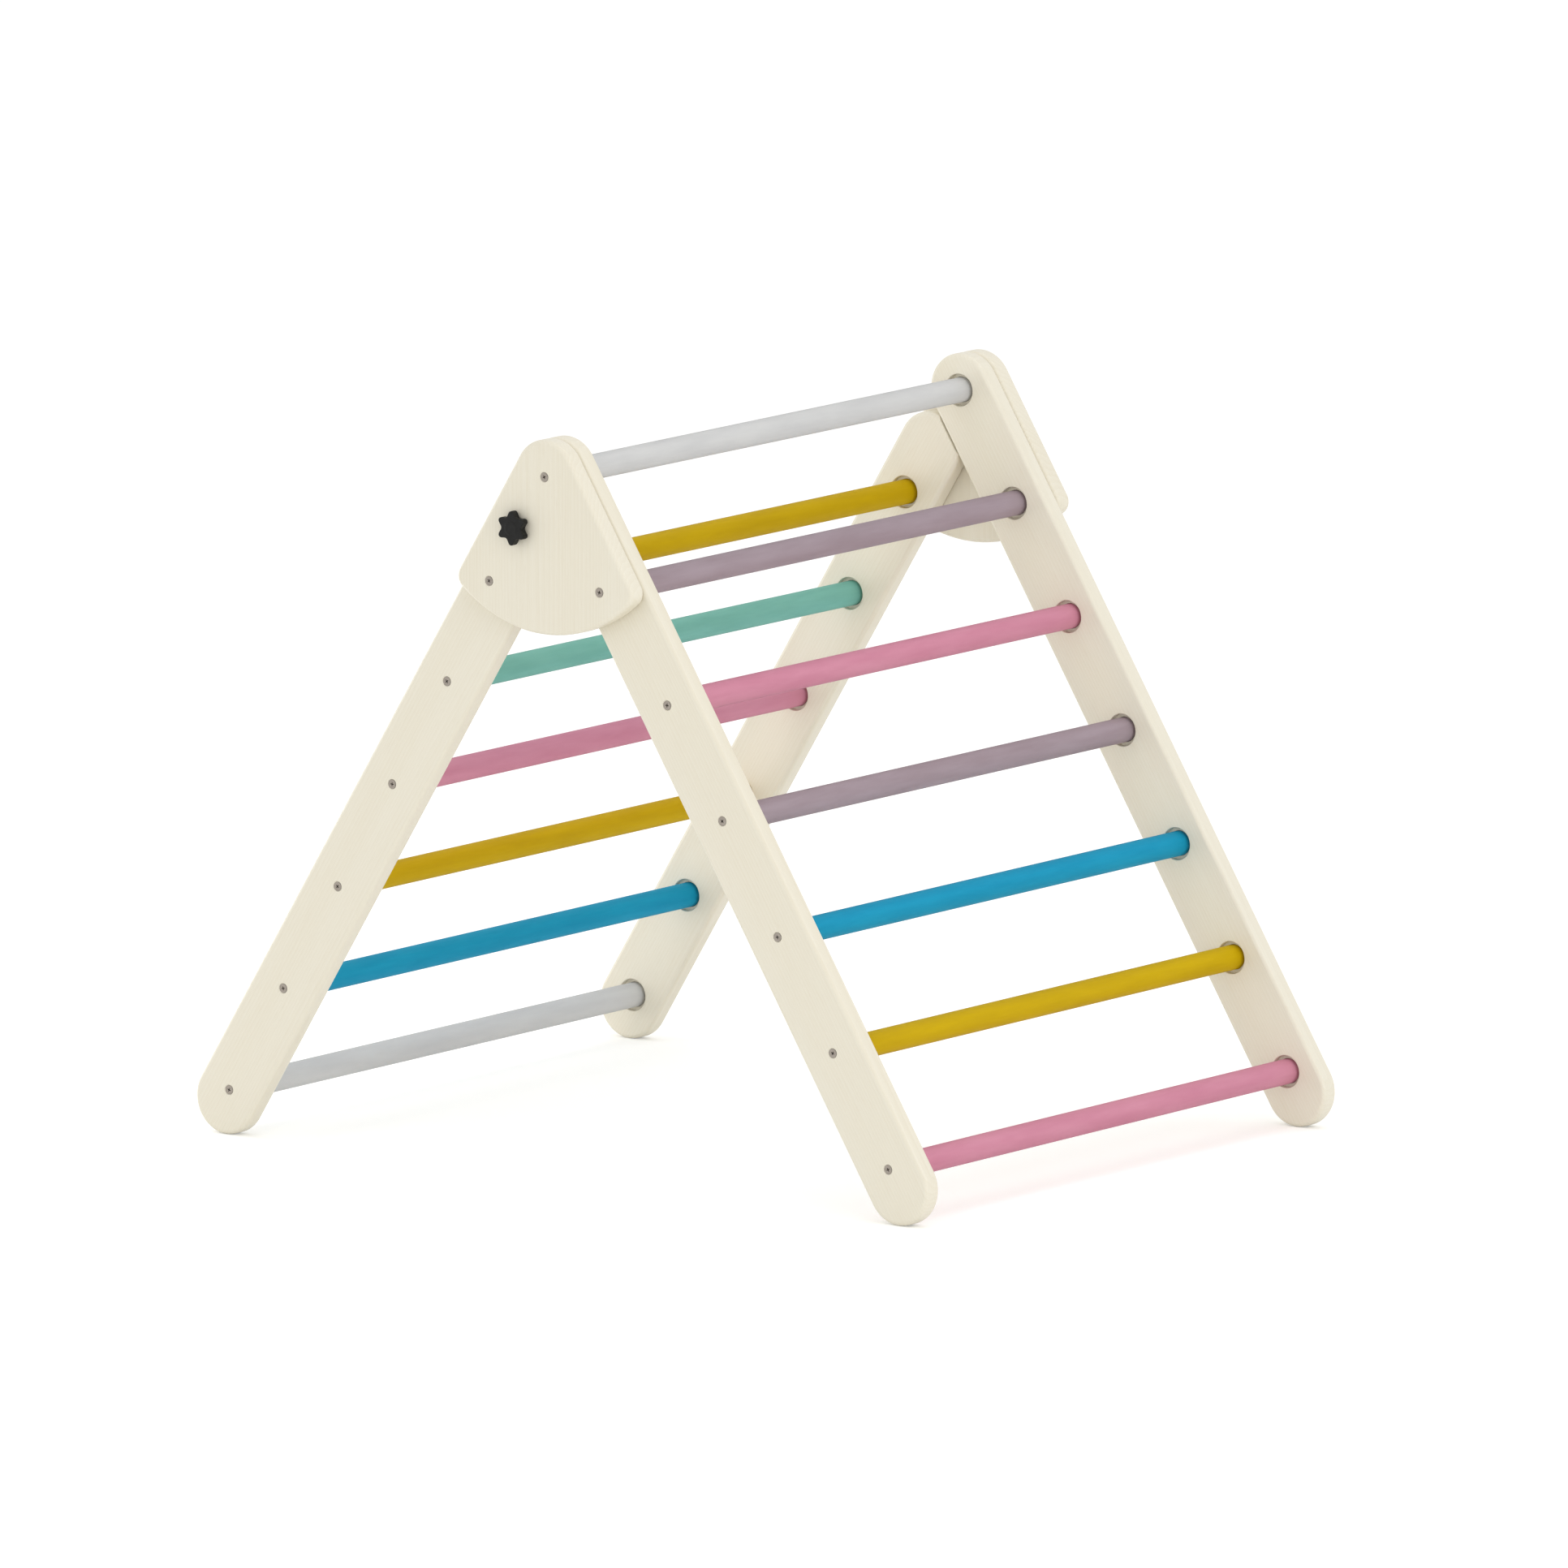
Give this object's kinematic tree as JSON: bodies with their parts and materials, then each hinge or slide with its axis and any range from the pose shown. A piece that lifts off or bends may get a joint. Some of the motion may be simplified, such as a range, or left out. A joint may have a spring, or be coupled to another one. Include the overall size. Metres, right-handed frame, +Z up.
{
  "type": "climbing triangle",
  "caption": "Indoor climbing triangle: two wooden ladders with painted rungs, joined by fan-shaped side plates, spread as an A-frame and folding flat.",
  "frame": {"origin": "on the floor, in the middle of the four feet: X = 0 is below the apex rung, Y = 0 half way along the rungs", "axes": "+X towards the front ladder's feet, +Y along the rungs towards the far side, +Z up"},
  "size_m": [0.789, 0.6572, 0.6464],
  "materials": {
    "lacquered_wood": "clear satin lacquer on pale wood",
    "paint_grey_white": "grey-white satin paint on a round wooden rod",
    "paint_mauve": "greyish mauve satin paint on a round wooden rod",
    "paint_pink": "pink satin paint on a round wooden rod",
    "paint_blue": "blue satin paint on a round wooden rod",
    "paint_yellow": "mustard yellow satin paint on a round wooden rod",
    "paint_teal": "soft teal satin paint on a round wooden rod",
    "screw_steel": "zinc plated, satin",
    "insert_brass": "plain",
    "black_plastic": "moulded, fine satin texture"
  },
  "bodies": {
    "front_ladder": {"front_rail_near": "lacquered_wood", "front_rail_far": "lacquered_wood", "fan_plate_near": "lacquered_wood", "fan_plate_far": "lacquered_wood", "threaded_insert_near": "insert_brass", "threaded_insert_far": "insert_brass", "rung_apex": "paint_grey_white", "rung_front_1": "paint_mauve", "rung_front_2": "paint_pink", "rung_front_3": "paint_mauve", "rung_front_4": "paint_blue", "rung_front_5": "paint_yellow", "rung_front_6": "paint_pink", "plate_screw_near_0": "screw_steel", "plate_screw_near_1": "screw_steel", "front_rail_screw_near_2": "screw_steel", "front_rail_screw_near_3": "screw_steel", "front_rail_screw_near_4": "screw_steel", "front_rail_screw_near_5": "screw_steel", "front_rail_screw_near_6": "screw_steel", "plate_screw_far_0": "screw_steel", "plate_screw_far_1": "screw_steel", "front_rail_screw_far_2": "screw_steel", "front_rail_screw_far_3": "screw_steel", "front_rail_screw_far_4": "screw_steel", "front_rail_screw_far_5": "screw_steel", "front_rail_screw_far_6": "screw_steel"},
    "rear_ladder": {"rear_rail_near": "lacquered_wood", "rear_rail_far": "lacquered_wood", "rung_rear_1": "paint_yellow", "rung_rear_2": "paint_teal", "rung_rear_3": "paint_pink", "rung_rear_4": "paint_yellow", "rung_rear_5": "paint_blue", "rung_rear_6": "paint_grey_white", "pivot_screw_near": "screw_steel", "rear_rail_screw_near_2": "screw_steel", "rear_rail_screw_near_3": "screw_steel", "rear_rail_screw_near_4": "screw_steel", "rear_rail_screw_near_5": "screw_steel", "rear_rail_screw_near_6": "screw_steel", "pivot_screw_far": "screw_steel", "rear_rail_screw_far_2": "screw_steel", "rear_rail_screw_far_3": "screw_steel", "rear_rail_screw_far_4": "screw_steel", "rear_rail_screw_far_5": "screw_steel", "rear_rail_screw_far_6": "screw_steel"},
    "knob_near": {"star_knob_near": "black_plastic", "knob_stud_near": "screw_steel"},
    "knob_far": {"star_knob_far": "black_plastic", "knob_stud_far": "screw_steel"}
  },
  "joints": [
    {"name": "fold", "type": "hinge", "parent": "front_ladder", "child": "rear_ladder", "pos_m": [-0.05961, 0, 0.51863], "axis": [0, -1, 0], "range_deg": [0, 67]},
    {"name": "knob_near_turn", "type": "hinge", "parent": "front_ladder", "child": "knob_near", "pos_m": [-0.02861, -0.3183, 0.56843], "axis": [0, -1, 0], "range_deg": [0, 450]},
    {"name": "knob_far_turn", "type": "hinge", "parent": "front_ladder", "child": "knob_far", "pos_m": [-0.02861, 0.3183, 0.56843], "axis": [0, 1, 0], "range_deg": [0, 450]}
  ]
}
